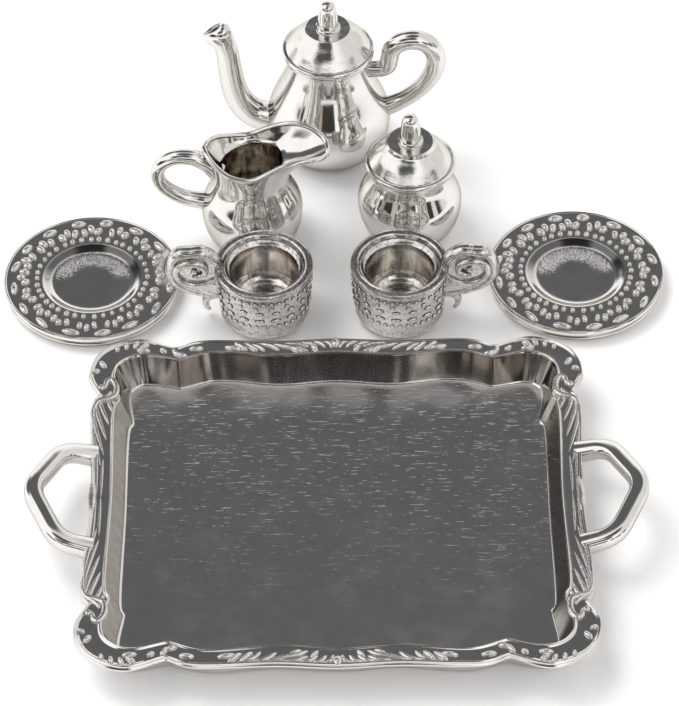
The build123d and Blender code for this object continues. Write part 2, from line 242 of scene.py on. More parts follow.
def lathe(profile, centre, segments=144):
    """Points and faces of a turned solid. The profile starts and ends on the axis."""
    cx, cy = centre
    verts, faces, rings = [], [], []
    for r, z in profile:
        if r < 1e-6:
            rings.append([len(verts)])
            verts.append((cx, cy, z))
            continue
        rings.append(list(range(len(verts), len(verts) + segments)))
        verts += [(cx + r * cos(a), cy + r * sin(a), z) for a in around(segments)]
    for low, high in zip(rings, rings[1:]):
        for i in range(segments):
            j = (i + 1) % segments
            if len(low) == 1:
                faces.append((low[0], high[j], high[i]))
            elif len(high) == 1:
                faces.append((low[i], low[j], high[0]))
            else:
                faces.append((low[i], low[j], high[j], high[i]))
    return verts, faces


def boxy(value, power):
    return (1 if value >= 0 else -1) * abs(value) ** power


def sweep(path, sizes, sides, flat=1.0, up=ACROSS, square=1.0):
    """Round or flattened bar along a path, with one radius for each point.

    flat is the section's width along up, as a share of its width across it. A square
    below 1 makes the section boxier."""
    path = [Vector(p) for p in path]
    verts = []
    for i, point in enumerate(path):
        ahead = path[min(i + 1, len(path) - 1)] - path[max(i - 1, 0)]
        along = ahead.normalized()
        across = along.cross(up).normalized()
        over = across.cross(along)
        verts += [point + sizes[i] * (across * boxy(cos(a), square) + over * boxy(sin(a), square) * flat)
                  for a in around(sides)]
    return capped(verts, len(path), sides)


def capped(verts, rings, count):
    """Skin over rings of equal point count, closed at both ends."""
    faces = grid_faces(rings, count)
    faces.append(tuple(range(count)))
    faces.append(tuple(range(len(verts) - count, len(verts))))
    return verts, faces


def closed_tube(loop, radius, sides):
    """Round wire along a closed loop that lies roughly flat."""
    verts = []
    count = len(loop)
    for i, point in enumerate(loop):
        along = (loop[(i + 1) % count] - loop[i - 1]).normalized()
        across = along.cross(UP).normalized()
        over = across.cross(along)
        verts += [point + radius * (across * cos(a) + over * sin(a)) for a in around(sides)]
    faces = grid_faces(count, sides)
    last = (count - 1) * sides
    faces += [(last + k, last + (k + 1) % sides, (k + 1) % sides, k) for k in range(sides)]
    return verts, faces


def skin(rings):
    return capped([point for ring in rings for point in ring], len(rings), len(rings[0]))


def joined(*shapes):
    """Several point and face lists as one."""
    verts, faces = [], []
    for some_verts, some_faces in shapes:
        offset = len(verts)
        verts += [Vector(v) for v in some_verts]
        faces += [tuple(i + offset for i in face) for face in some_faces]
    return verts, faces


def shifted(shape, x, y):
    verts, faces = shape
    return [Vector(v) + Vector((x, y, 0)) for v in verts], faces


def flipped(shape, sx, sy):
    """Mirror image of a shape where a sign is -1. tidy() turns its faces outwards again."""
    verts, faces = shape
    return [Vector(v) * Vector((sx, sy, 1)) for v in verts], faces


def tapered(path, width, up=UP, flat=1.0, power=0.55):
    """Leaf or ridge along a path, thickest in the middle and thin at its ends."""
    last = len(path) - 1
    sizes = [width / 2 * max(0.06, sin(pi * i / last) ** power) for i in range(last + 1)]
    return sweep(path, sizes, 10, flat, up)


def measured(r, z, points):
    """Profile points given as distances from a corner."""
    return [(r + out, z + rise) for out, rise in points]


# ---- shader effects shared by the metals

def add(tree, kind, given=(), **settings):
    """New node. given holds a value or another node's output for inputs, by name or number."""
    node = tree.nodes.new(kind)
    for key, value in settings.items():
        setattr(node, key, value)
    for key, value in dict(given).items():
        if isinstance(value, bpy.types.NodeSocket):
            tree.links.new(value, node.inputs[key])
        else:
            node.inputs[key].default_value = value
    return node


def maths(tree, operation, *values):
    return add(tree, "ShaderNodeMath", enumerate(values), operation=operation).outputs[0]


def product(tree, first, *others):
    for other in others:
        first = maths(tree, "MULTIPLY", first, other)
    return first


def ramp(tree, value, low, high, first=0.0, last=1.0, kind="LINEAR"):
    """Carries the range from low to high over to the range from first to last."""
    return add(tree, "ShaderNodeMapRange", enumerate((value, low, high, first, last)),
               interpolation_type=kind).outputs[0]


def soft(tree, value, low, high):
    """0 at low and 1 at high, eased at both ends."""
    return ramp(tree, value, low, high, kind="SMOOTHSTEP")


def noise(tree, vector, scale, detail, roughness=0.5):
    return add(tree, "ShaderNodeTexNoise", {"Vector": vector, "Scale": scale, "Detail": detail,
                                            "Roughness": roughness}).outputs[0]


def mixed(tree, below, colour, mask):
    """A colour laid over another where the mask is 1."""
    return add(tree, "ShaderNodeMix", {0: mask, 6: below, 7: (*colour, 1)}, data_type="RGBA").outputs[2]


def vectors(tree, operation, *values):
    return add(tree, "ShaderNodeVectorMath", enumerate(values), operation=operation).outputs


def node_group(name, inputs, outputs):
    """Empty shader group. An input without a default takes a vector, the others take numbers."""
    group = bpy.data.node_groups.new(name, "ShaderNodeTree")
    for label, default in inputs.items():
        kind = "NodeSocketVector" if default is None else "NodeSocketFloat"
        socket = group.interface.new_socket(label, in_out="INPUT", socket_type=kind)
        if default is not None:
            socket.default_value = default
    for label in outputs:
        group.interface.new_socket(label, in_out="OUTPUT", socket_type="NodeSocketFloat")
    return group, group.nodes.new("NodeGroupInput").outputs, group.nodes.new("NodeGroupOutput").inputs


def hairline_group():
    """Fine scratches that all run along X, as a height and a mask."""
    name = "Hairline scratches"
    if name in bpy.data.node_groups:
        return bpy.data.node_groups[name]
    group, start, end = node_group(
        name, {"Vector": None, "Scale": 1.0, "Stretch": 0.05, "Density": 0.4}, ("Height", "Mask"))
    stretch = add(group, "ShaderNodeCombineXYZ", {0: start["Stretch"], 1: 1.0, 2: 1.0}).outputs[0]
    squeezed = vectors(group, "MULTIPLY", start["Vector"], stretch)[0]
    lines = noise(group, squeezed, start["Scale"], 4.0, 0.6)
    low = maths(group, "SUBTRACT", 1.0, start["Density"])
    mask = soft(group, lines, low, maths(group, "ADD", low, 0.12))
    group.links.new(mask, end["Mask"])
    group.links.new(maths(group, "MULTIPLY_ADD", lines, 0.35, mask), end["Height"])
    return group


def casting_group():
    """Soft unevenness of a hand-polished casting: a broad swell and fine pits."""
    name = "Cast and polished surface"
    if name in bpy.data.node_groups:
        return bpy.data.node_groups[name]
    group, start, end = node_group(
        name, {"Vector": None, "Swell scale": 350.0, "Pit scale": 5000.0, "Pits": 0.1}, ("Height", "Haze"))
    swell = noise(group, start["Vector"], start["Swell scale"], 2.0, 0.45)
    pits = noise(group, start["Vector"], start["Pit scale"], 3.0, 0.6)
    group.links.new(maths(group, "MULTIPLY_ADD", pits, start["Pits"], swell), end["Height"])
    group.links.new(ramp(group, swell, 0.42, 0.68), end["Haze"])
    return group


def grain_group():
    """Grainy crescent on the back of a saucer's well floor, and painted shade on the wall behind it."""
    name = "Grain in a well"
    if name in bpy.data.node_groups:
        return bpy.data.node_groups[name]
    group, start, end = node_group(name, {"Vector": None, "Centre": None}, ("Height", "Painted wall shade"))
    offset = vectors(group, "SUBTRACT", start["Vector"], start["Centre"])[0]
    reach = vectors(group, "LENGTH", vectors(group, "MULTIPLY", offset, (1, 1, 0))[0])["Value"]
    back = add(group, "ShaderNodeSeparateXYZ", {0: offset}).outputs[1]
    grain = product(group, noise(group, start["Vector"], 5000.0, 1.0, 0.6),
                    soft(group, reach, 1.4 * MM, 3.2 * MM), soft(group, reach, 4.6 * MM, 3.8 * MM),
                    soft(group, back, -0.6 * MM, 1.6 * MM))
    # Painted shade: mask for the back of the well's wall, which is coloured dark as if in shade.
    wall = product(group, soft(group, reach, 4.3 * MM, 4.7 * MM), soft(group, reach, 5.45 * MM, 5.1 * MM),
                   soft(group, back, -1 * MM, 2.2 * MM))
    group.links.new(grain, end["Height"])
    group.links.new(wall, end["Painted wall shade"])
    return group


def scratched(tree, place, normal, gloss, depth):
    """Normal and roughness of a scratched floor, faint at the front and worn in patches at the back."""
    lines = add(tree, "ShaderNodeGroup", {"Vector": place, "Scale": 6500.0, "Stretch": 0.09, "Density": 0.4},
                node_tree=hairline_group()).outputs
    back = add(tree, "ShaderNodeSeparateXYZ", {0: place}).outputs[1]
    strength = ramp(tree, back, -16 * MM, 14 * MM, 0.05, 0.9)
    marked = maths(tree, "MULTIPLY_ADD", product(tree, lines["Mask"], strength), 0.22, gloss)
    patches = ramp(tree, noise(tree, place, 170.0, 1.0), 0.38, 0.54, 0.25)
    worn = product(tree, soft(tree, back, 12.2 * MM, 17.5 * MM), patches)
    height = product(tree, lines["Height"], maths(tree, "MULTIPLY_ADD", worn, 4.0, strength))
    cut = add(tree, "ShaderNodeBump", {"Distance": depth, "Height": height, "Normal": normal})
    return cut.outputs[0], maths(tree, "MULTIPLY_ADD", worn, 0.22, marked)


def new_material(name):
    material = bpy.data.materials.new(name)
    material.use_nodes = True
    return material, material.node_tree, material.node_tree.nodes["Principled BSDF"]


def metal(name, colour, roughness=0.07, haze=0.1, swell=0.02, pits=0.1, scratch_depth=0.0,
          tarnish=(0.42, 0.39, 0.36), tarnish_share=0.12, film_scale=900.0, streak=None,
          relief_foot_shade=None, grain_and_shade_centre=None):
    """Silver plate over a casting. The swell's height is in millimetres.

    streak is the colour of upright runs; the colour after it is painted shade where the relief lies low.
    The well centre given last leaves that well's floor grainy towards the back, with painted shade on its
    back wall."""
    if name in bpy.data.materials:
        return bpy.data.materials[name]
    material, tree, shader = new_material(name)
    place = add(tree, "ShaderNodeTexCoord").outputs["Object"]
    cast = add(tree, "ShaderNodeGroup", {"Vector": place, "Pits": pits}, node_tree=casting_group()).outputs
    normal = add(tree, "ShaderNodeBump", {"Distance": swell * MM, "Height": cast["Height"]}).outputs[0]
    gloss = maths(tree, "MULTIPLY_ADD", cast["Haze"], haze, roughness)
    film = ramp(tree, noise(tree, place, film_scale, 5.0, 0.6), 0.45, 0.75, 0.0, tarnish_share)
    tint = mixed(tree, (*colour, 1), tarnish, film)
    if streak:
        drawn = add(tree, "ShaderNodeMapping", {"Vector": place, "Scale": (1.0, 1.0, 0.06)}).outputs[0]
        tint = mixed(tree, tint, streak, ramp(tree, noise(tree, drawn, 1500.0, 5.0, 0.65), 0.42, 0.6))
    # Painted shade: darker colour towards the foot of each raised bead, where shade falls.
    if relief_foot_shade:
        rise = add(tree, "ShaderNodeAttribute", attribute_name="rise").outputs["Fac"]
        tint = mixed(tree, tint, relief_foot_shade, ramp(tree, rise, 0.55, 0.3))
    if grain_and_shade_centre:
        grain = add(tree, "ShaderNodeGroup", {"Vector": place, "Centre": (*grain_and_shade_centre, 0)},
                    node_tree=grain_group()).outputs
        # Painted shade: the back of the well's wall turns dark grey.
        tint = mixed(tree, tint, (0.14, 0.137, 0.133), grain["Painted wall shade"])
        normal = add(tree, "ShaderNodeBump", {"Distance": 0.1 * MM, "Height": grain["Height"],
                                              "Normal": normal}).outputs[0]
    if scratch_depth:
        normal, gloss = scratched(tree, place, normal, gloss, scratch_depth)
    shader.inputs["Metallic"].default_value = 1.0
    shader.inputs["Specular Tint"].default_value = (*bpy.context.scene.tea_finish.edge_tint, 1)
    for output, label in ((tint, "Base Color"), (gloss, "Roughness"), (normal, "Normal")):
        tree.links.new(output, shader.inputs[label])
    return material


# Finishes of the set's own silver. Everything left out is as metal() has it.
PLATES = {
    "polished_plate": {"haze": 0.06, "swell": 0.014, "pits": 0.12},
    "polished_lid_plate": {"haze": 0.08, "swell": 0.12, "pits": 0.12},
    "tray_rim_plate": {"roughness": 0.10, "haze": 0.05, "swell": 0.008, "pits": 0.5},
    "raised_relief_plate": {"roughness": 0.09, "haze": 0.05, "swell": 0.016, "pits": 3.0},
    "scratched_tray_floor": {"roughness": 0.12, "haze": 0.06, "swell": 0.006, "pits": 0.2},
    # The cup relief's last colour is painted shade at the foot of each bead.
    "cup_relief_plate": {"haze": 0.05, "swell": 0.01, "pits": 0.3, "relief_foot_shade": (0.10, 0.09, 0.085)},
}


def plate(name, **changes):
    return metal(name, tuple(bpy.context.scene.tea_finish.silver), **PLATES[name], **changes)


def pot_metal():
    return plate("polished_plate", roughness=bpy.context.scene.tea_finish.roughness)


# Saucer plate with a grainy well floor and painted shade on the back of the well's wall.
def saucer_metal(label, centre):
    return metal(f"saucer_{label}_plate", tuple(bpy.context.scene.tea_finish.silver),
                 **PLATES["tray_rim_plate"], grain_and_shade_centre=(centre[0] * MM, centre[1] * MM))


def inside_metal():
    return metal("dull_inside", (0.98, 0.92, 0.85), roughness=0.2, swell=0.03, pits=0.3,
                 streak=(0.22, 0.165, 0.12))


def cup_inside_metal():
    return metal("cup_well", (0.88, 0.85, 0.82), roughness=0.12, swell=0.03, pits=0.3,
                 streak=(0.50, 0.46, 0.43))


def wall_metal():
    return metal("tray_inner_wall", (0.62, 0.605, 0.59), haze=0.04, swell=0.014, pits=0.3,
                 streak=(0.52, 0.51, 0.495))


def cup_metal():
    return metal("cup_plate", (0.76, 0.745, 0.725), roughness=0.08, haze=0.08, swell=0.016, pits=1.3,
                 tarnish=(0.16, 0.15, 0.14), tarnish_share=0.75, film_scale=2600.0)


# Painted shade: dark metal for flat rings round the foot of the cups' beads.
def painted_bead_shade():
    return metal("painted_bead_shade_metal", tuple(bpy.context.scene.tea_finish.painted_bead_shade), roughness=0.2, swell=0.01,
                 pits=0.4, tarnish=(0.2, 0.19, 0.18))


# ---- repeated relief

def bump_tree():
    """Geometry Nodes: a round-topped bump on every point, turned and sized by its attributes."""
    name = "Cast bumps"
    if name in bpy.data.node_groups:
        return bpy.data.node_groups[name]
    tree = bpy.data.node_groups.new(name, "GeometryNodeTree")
    for label, kind, default in (("Points", "Geometry", None), ("Segments", "Int", 12), ("Rings", "Int", 6),
                                 ("Height", "Float", 1.0), ("Metal", "Material", None)):
        socket = tree.interface.new_socket(label, in_out="INPUT", socket_type="NodeSocket" + kind)
        if default is not None:
            socket.default_value = default
    tree.interface.new_socket("Relief", in_out="OUTPUT", socket_type="NodeSocketGeometry")
    start = tree.nodes.new("NodeGroupInput").outputs
    end = tree.nodes.new("NodeGroupOutput").inputs
    ball = add(tree, "GeometryNodeMeshUVSphere", {"Segments": start["Segments"], "Rings": start["Rings"],
                                                  "Radius": 1.0})
    smooth = add(tree, "GeometryNodeSetShadeSmooth", {"Geometry": ball.outputs["Mesh"]})
    where = add(tree, "GeometryNodeInputPosition")
    parts = add(tree, "ShaderNodeSeparateXYZ", {0: where.outputs[0]})
    rise = add(tree, "GeometryNodeStoreNamedAttribute",
               {"Name": "rise", "Geometry": smooth.outputs[0], "Value": parts.outputs[2]},
               data_type="FLOAT", domain="POINT")
    turn, spread = (add(tree, "GeometryNodeInputNamedAttribute", {"Name": label}, data_type="FLOAT_VECTOR")
                    for label in ("turn", "spread"))
    angle = add(tree, "FunctionNodeEulerToRotation", {0: turn.outputs["Attribute"]})
    stretch = add(tree, "ShaderNodeCombineXYZ", {0: 1.0, 1: 1.0, 2: start["Height"]})
    size = vectors(tree, "MULTIPLY", spread.outputs["Attribute"], stretch.outputs[0])
    place = add(tree, "GeometryNodeInstanceOnPoints",
                {"Points": start["Points"], "Instance": rise.outputs[0], "Rotation": angle.outputs[0],
                 "Scale": size[0]})
    real = add(tree, "GeometryNodeRealizeInstances", {0: place.outputs[0]})
    plated = add(tree, "GeometryNodeSetMaterial", {"Geometry": real.outputs[0], "Material": start["Metal"]})
    tree.links.new(plated.outputs[0], end[0])
    return tree


def bumps(name, places, material, body, segments=12, rings=6):
    """Raised ovals and beads as one mesh. A place is a point, a turn and three half sizes, in mm."""
    points = bpy.data.meshes.new(name + "_points")
    points.from_pydata([Vector(point) * MM for point, _, _ in places], [], [])
    turn = points.attributes.new("turn", "FLOAT_VECTOR", "POINT")
    spread = points.attributes.new("spread", "FLOAT_VECTOR", "POINT")
    for i, (_, euler, size) in enumerate(places):
        turn.data[i].vector = euler
        spread.data[i].vector = Vector(size) * MM
    carrier = placed(name + "_points", points)
    tree = bump_tree()
    modifier = carrier.modifiers.new("Cast bumps", "NODES")
    modifier.node_group = tree
    values = {"Segments": segments, "Rings": rings, "Metal": material}
    for item in tree.interface.items_tree:
        if item.in_out == "INPUT" and item.name in values:
            modifier[item.identifier] = values[item.name]
    carrier.update_tag()
    bpy.context.view_layer.update()
    graph = bpy.context.evaluated_depsgraph_get()
    mesh = bpy.data.meshes.new_from_object(carrier.evaluated_get(graph))
    mesh.name = name
    bpy.data.objects.remove(carrier)
    settle(placed(name, mesh), body)


# ---- tray

STEPS = 14              # edge points between two of the outline's own points
SPANS = 9               # spans in a quarter of the outline


def tray_quarter(inset):
    """Quarter of the scalloped edge: middle of an end, cusp, lobe, notch, middle of a long side."""
    _, high = box_mm("tray_pan")

    def at(from_end, from_side, inward):
        return Vector((high.x - from_end - inset * inward[0], high.y - from_side - inset * inward[1]))

    mid = Vector((high.x - 0.95 - inset, 0))
    bulge = at(0.45, 10.7, (1.13, 0.22))
    cusp = at(1.2, 7.95, (1.04, 0.38))
    lobe = [cusp, at(0, 5.2, (1.27, 0.18)), at(1.2, 1.8, (1.02, 0.76)),
            at(5.0, 0, (0.31, 1.13)), at(9.1, 1.3, (0.09, 0.91))]
    wave = [lobe[-1], at(12.1, 0.3, (0.44, 0.87)), Vector((6.0, high.y - 0.45 - 1.03 * inset))]
    top = Vector((0, high.y - 0.15 - 0.98 * inset))
    end = [Vector((p.x, -p.y)) for p in (cusp, bulge)] + [mid, bulge, cusp]
    long_side = wave + [top] + [Vector((-p.x, p.y)) for p in reversed(wave)]
    return (through(end, STEPS)[2 * STEPS:-1] + through(lobe, STEPS)[:-1]
            + through(long_side, STEPS)[:3 * STEPS + 1])


def tray_loop(inset):
    """The whole edge, counterclockwise from the middle of the right end."""
    corner = tray_quarter(inset)
    back = [Vector((-p.x, p.y)) for p in reversed(corner)]
    left = [Vector((-p.x, -p.y)) for p in corner]
    front = [Vector((p.x, -p.y)) for p in reversed(corner)]
    return corner[:-1] + back[:-1] + left[:-1] + front[:-1]


def tray_dish():
    """Shallow dish, its rim a dark field between an outer and an inner bead."""
    sizes = bpy.context.scene.tea_tray
    top = box_mm("tray_pan")[1].z
    field, inner = top - sizes.field_depth / MM, sizes.rim_width / MM
    section = [
        (2.75, 0), (2.5, 0.12),
        *measured(0, top, [(1.72, -1.0), (1.5, -0.9), (0.2, -0.86), (0.04, -0.78), (0, -0.66), (0.02, -0.52),
                           (0.1, -0.44), (0.15, -0.38), (0.1, -0.31), (0.06, -0.2), (0.08, -0.07), (0.16, 0),
                           (0.25, -0.03), (0.32, -0.1)]),
        (0.4, field), (0.6, field - 0.02),
        *measured(inner, field, [(-0.5, -0.02), (-0.34, 0), (-0.28, 0.06)]),
        *measured(inner, top, [(-0.21, -0.02), (-0.13, 0.02), (-0.05, -0.02), (0, -0.13), (0.05, -0.3)]),
        *measured(inner, 0, [(0.93, 1.05), (1.0, 0.92), (1.12, 0.83), (1.3, 0.8)]),
    ]
    rings = [[Vector((p.x, p.y, z)) for p in tray_loop(inset)] for inset, z in section]
    dish = put("tray_dish", skin(rings), plate("tray_rim_plate"), "tray", ["tray_pan"])
    dish.data.materials.append(plate("scratched_tray_floor", scratch_depth=sizes.scratch_depth))
    dish.data.materials.append(wall_metal())
    for face in dish.data.polygons:
        inwards = face.center.x * face.normal.x + face.center.y * face.normal.y < 0
        if face.normal.z > 0.9 and face.center.z < 1.0 * MM:
            face.material_index = 1
        elif inwards and face.normal.z < 0.8 and face.center.z < (top - 0.1) * MM:
            face.material_index = 2
    return dish


def on_rim(s, inset, lift=0.0):
    """Point on the rim's field. s counts the quarter's spans, from the middle of an end."""
    points = tray_quarter(inset)
    where = min(max(s, -SPANS) * STEPS, SPANS * STEPS - 1e-6)
    i = int(abs(where))
    point = points[i].lerp(points[i + 1], abs(where) - i)
    height = box_mm("tray_pan")[1].z - bpy.context.scene.tea_tray.field_depth / MM + lift
    return Vector((point.x, -point.y if s < 0 else point.y, height))


def rim_direction(s, inset):
    step = on_rim(min(s + 0.06, SPANS), inset) - on_rim(s - 0.06, inset)
    return atan2(step.y, step.x)


# Each oval: where along the quarter, how far in, tilt from the edge in degrees, length, width.
OVALS = [
    (3.2, 0.62, 70, 0.75, 0.42), (3.55, 0.95, -60, 1.0, 0.5),
    (4.38, 0.62, -55, 0.7, 0.42), (4.64, 0.66, -60, 0.85, 0.45), (4.9, 0.72, -55, 1.0, 0.48),
    (5.12, 0.95, -40, 1.05, 0.48), (5.05, 1.5, 5, 1.25, 0.48), (5.62, 1.05, 10, 0.75, 0.42),
    (5.95, 0.95, 40, 1.1, 0.46), (6.12, 1.4, 30, 1.05, 0.46), (6.66, 1.05, 12, 1.3, 0.52),
    (7.36, 1.25, 5, 1.5, 0.5), (7.48, 0.95, 35, 1.5, 0.48), (7.62, 0.95, 40, 1.5, 0.46),
    (8.3, 1.35, 30, 1.2, 0.42), (8.62, 1.3, 55, 1.0, 0.4),
]
# Each leaf: its points as (where along the quarter, how far in), and its width.
LEAVES = [
    ([(1.55, 0.62), (1.2, 0.95), (0.85, 1.75)], 0.52),
    ([(1.3, 0.42), (0.98, 0.72), (0.64, 1.55)], 0.52),
    ([(1.05, 0.32), (0.76, 0.6), (0.46, 1.3)], 0.46),
    ([(1.74, 1.1), (1.42, 1.5), (1.1, 2.0)], 0.46),
    ([(1.9, 1.5), (1.66, 1.8), (1.4, 2.05)], 0.42),
    ([(0.86, 0.26), (0.62, 0.42), (0.34, 1.0)], 0.44),
    ([(0.6, 0.5), (0.35, 0.6), (0.0, 0.62)], 0.34),
    ([(0.42, 1.25), (0.22, 1.1), (0.0, 1.08)], 0.34),
    ([(7.58, 0.5), (7.72, 0.85), (7.8, 1.5)], 0.5),
    ([(7.74, 0.4), (7.9, 0.7), (8.02, 1.35)], 0.52),
    ([(7.92, 0.42), (8.12, 0.8), (8.36, 1.2), (8.52, 1.7)], 0.58),
    ([(8.12, 0.36), (8.34, 0.55), (8.52, 1.05)], 0.5),
    ([(8.38, 0.36), (8.55, 0.6), (8.68, 1.2)], 0.48),
    ([(8.6, 0.36), (8.74, 0.65), (8.82, 1.3)], 0.46),
    ([(8.8, 0.38), (8.9, 0.75), (8.93, 1.4)], 0.44),
]
HOOK = [(2.42, 0.75), (2.5, 1.15), (2.75, 1.5), (2.85, 1.95), (2.6, 2.2), (2.3, 2.0), (2.05, 1.55),
        (1.75, 0.95), (1.4, 0.45), (1.05, 0.22), (0.85, 0.3)]
HOOK_LINER = [(2.3, 1.55), (2.12, 1.2), (1.85, 0.7), (1.5, 0.28)]


def tray_relief():
    """Ovals, leaves and a hooked scroll raised on the rim, the same at all four corners."""
    deep = bpy.context.scene.tea_tray.relief_height / MM
    places = []
    for s, inset, tilt, length, width in OVALS:
        angle = rim_direction(s, inset) + radians(tilt)
        point = on_rim(s, inset, -0.03)
        places += [((point.x * sx, point.y * sy, point.z), (0, 0, angle * sx * sy),
                    (length * 0.6, width * 0.62, deep)) for sx, sy in CORNERS]
    middle, crest, endways = on_rim(0, 0.22), on_rim(SPANS, 0.6), (0, 0, pi / 2)
    places += [((middle.x * sx, 0, middle.z - 0.1), endways, (2.6, 0.46, deep)) for sx in (1, -1)]
    places += [((0, crest.y * sy, crest.z), endways, (0.66, 0.46, deep)) for sy in (1, -1)]
    bumps("tray_rim_ovals", places, plate("raised_relief_plate"), "tray", segments=16, rings=8)
    ridges = []
    for points, width in LEAVES:
        path = through([on_rim(s, inset, -0.02) for s, inset in points])
        ridges.append(tapered(path, width))
    for points, width in ((HOOK, 0.72), (HOOK_LINER, 0.5)):
        path = through([on_rim(s, inset) for s, inset in points])
        ridges.append(tapered(path, width, flat=0.95, power=0.35))
    eye = on_rim(2.42, 0.75, 0.02)
    ball = measured(0, eye.z, [(0, -0.3), (0.26, -0.1), (0.34, 0.08), (0.2, 0.24), (0, 0.28)])
    ridges.append(lathe(ball, (eye.x, eye.y), 16))
    shape = joined(*(flipped(ridge, *corner) for ridge in ridges for corner in CORNERS))
    put("tray_rim_scrollwork", shape, plate("raised_relief_plate"), "tray")


def tray_handles():
    """Half-hexagon bars that climb outwards from under the rim, a little thicker at their roots."""
    bar_r, length, root_half, knee_half = 1.0, 6.3, 6.25, 6.0
    for side, label in ((-1, "left"), (1, "right")):
        low, high = box_mm(f"tray_handle_{label}")
        tip = max(abs(low.x), abs(high.x)) - bar_r
        root = tip - length
        knee = root + 3.3
        rise, start_z = high.z - low.z - 2 * bar_r, low.z + bar_r
        bends = [(root, -root_half), (knee, -knee_half, 1.7), (tip, 0, 1.9), (knee, knee_half, 1.7),
                 (root, root_half)]
        outline = rounded(bends, 8)
        path = [(side * x, y, start_z + rise * max(0.0, (x - root) / (tip - root))) for x, y in outline]
        thick = [bar_r * (1.0 + 0.1 * max(0.0, 1 - (x - root) / 1.2)) for x, y in outline]
        put(f"tray_grip_{label}", sweep(path, thick, 28, 0.92, UP, 0.74), pot_metal(), "tray",
            [f"tray_handle_{label}"])


# ---- saucers

def unevenness(i, amount):
    """Small hand-cut irregularity that differs from one piece of relief to the next."""
    return amount * (sin(i * 12.9898) + 0.6 * sin(i * 4.1414 + 1.3)) / 1.6


def saucer(label):
    node = f"saucer_{label}"
    cx, cy = centre_of(node)
    low, high = box_mm(node)
    r, top = (high.x - low.x) / 2, high.z
    profile = [
        (0, 0),
        *measured(r, 0, [(-0.6, 0), (-0.48, 0.06), (-0.16, 0.46), (-0.12, 0.56), (-0.16, 0.66),
                         (-0.27, 0.72), (-0.25, 0.80), (-0.04, 1.08), (0, 1.2), (0, 1.38)]),
        *measured(r, top, [(-0.04, -0.09), (-0.1, -0.01), (-0.16, -0.01), (-0.22, -0.05),
                           (-0.3, -0.08), (-0.36, -0.08), (-0.42, -0.08)]),
        *measured(0, top, [(5.6, -0.08), (5.5, -0.08), (5.35, -0.09), (5.22, -0.13), (5.0, -0.27),
                           (4.75, -0.43), (4.52, -0.57), (4.35, -0.64), (4.15, -0.68), (3.8, -0.7),
                           (0, -0.7)]),
    ]
    put(f"{node}_plate", lathe(profile, (cx, cy)), saucer_metal(label, (cx, cy)), node,
        [node])
    beads, ovals = bpy.context.scene.tea_saucer.beads, bpy.context.scene.tea_saucer.ovals
    bead_ring, drop_ring, oval_ring = 5.95, 7.2, 8.48
    places = []

    def raise_at(a, reach, turn, size):
        places.append(((cx + reach * cos(a), cy + reach * sin(a), top - 0.1), (0, 0, turn), size))

    for i in range(beads):
        a = tau * (i + unevenness(i, 0.2)) / beads
        half = 0.33 + unevenness(i + 9, 0.06)
        raise_at(a, bead_ring + unevenness(i + 50, 0.06), a, (half, half * 0.9, 0.3))
    for i in range(ovals):
        a = tau * (i + 0.5 + unevenness(i, 0.14)) / ovals
        raise_at(a, oval_ring + unevenness(i + 20, 0.08), a + pi / 2 + unevenness(i + 3, 0.3),
                 (0.95 + unevenness(i + 7, 0.18), 0.42 + unevenness(i, 0.07), 0.36))
        for k in (-1, 0, 1):
            b = a + tau * (0.5 + 0.27 * k) / ovals
            raise_at(b, drop_ring + 0.34 * (k == 0) + unevenness(3 * i + k, 0.2),
                     b + 0.35 * k + unevenness(i + 5 * k, 0.4),
                     (0.56 + unevenness(i + k, 0.14), 0.38 + unevenness(i - k, 0.06), 0.4))
    bumps(f"{node}_relief", places, plate("raised_relief_plate"), node)


# ---- cups

def cup_wall_r(z):
    """Radius of a cup's wall at a height."""
    stations = [(0, 4.0), (0.45, 4.5), (1.2, 4.72), (3.65, 4.93), (6.4, 5.08), (7.3, 5.2)]
    for (z0, r0), (z1, r1) in zip(stations, stations[1:]):
        if z <= z1:
            return r0 + (r1 - r0) * (z - z0) / (z1 - z0)
    return stations[-1][1]


